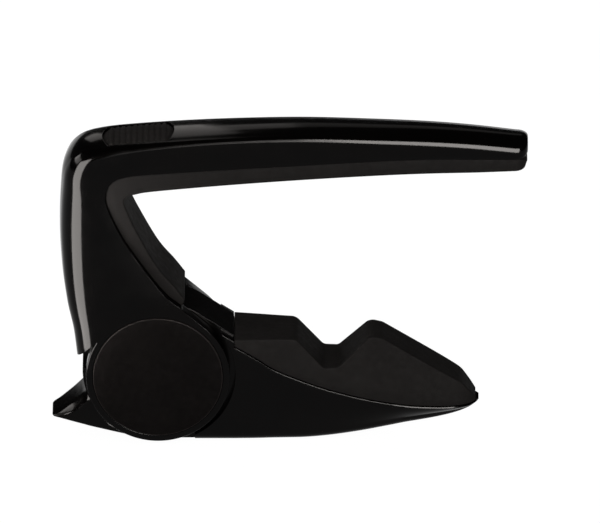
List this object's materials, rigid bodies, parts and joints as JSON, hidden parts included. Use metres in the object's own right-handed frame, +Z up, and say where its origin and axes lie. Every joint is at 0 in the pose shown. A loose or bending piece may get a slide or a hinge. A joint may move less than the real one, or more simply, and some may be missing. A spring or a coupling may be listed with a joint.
{
  "type": "guitar capo",
  "caption": "Black clamp capo: padded string bar on a curved arm, a jaw with a V cradle on a round spring-clutch pivot, and a thumb lever that lets it open.",
  "frame": {"origin": "on the surface that the open capo stands on, midway along its length and its width, as it stands at rest with the jaw open", "axes": "+X along the string bar to its tip, +Y across the capo to the rear cover, +Z up from the jaw to the string bar"},
  "size_m": [0.09, 0.016, 0.0638],
  "materials": {
    "black_casting": "gloss black enamel over a smooth aluminium casting",
    "black_rubber": "matt moulded black rubber",
    "cover_satin": "satin black, plain",
    "plate_black": "satin black paint on steel plate",
    "steel": "ground and lightly oiled",
    "bearing_bronze": "turned bearing bronze"
  },
  "bodies": {
    "arm": {"arm_frame": "black_casting", "string_pad": "black_rubber", "thumb_grip": "black_rubber", "front_cover": "cover_satin", "rear_cover": "cover_satin", "pivot_shaft": "steel", "clutch_drum": "steel", "drum_pin": "steel", "front_shaft_screw": "steel", "rear_shaft_screw": "steel"},
    "jaw": {"jaw_frame": "black_casting", "jaw_pad": "black_rubber", "hub_side_plate": "plate_black", "plate_screw_1": "steel", "plate_screw_2": "steel", "plate_screw_3": "steel", "front_bush": "bearing_bronze", "rear_bush": "bearing_bronze", "wrap_spring": "steel", "anchor_pin": "steel"},
    "lever": {"release_lever": "black_casting", "release_pin": "steel"}
  },
  "joints": [
    {"name": "jaw_hinge", "type": "hinge", "parent": "arm", "child": "jaw", "pos_m": [-0.02495, 0, 0.0143], "axis": [0, -1, 0], "range_deg": [-12, 28]},
    {"name": "lever_hinge", "type": "hinge", "parent": "jaw", "child": "lever", "pos_m": [-0.02495, 0, 0.0143], "axis": [0, 1, 0], "range_deg": [0, 12], "stiffness_Nm_per_rad": 0.6, "springref_deg": -11.46, "deforming": ["wrap_spring"]}
  ]
}
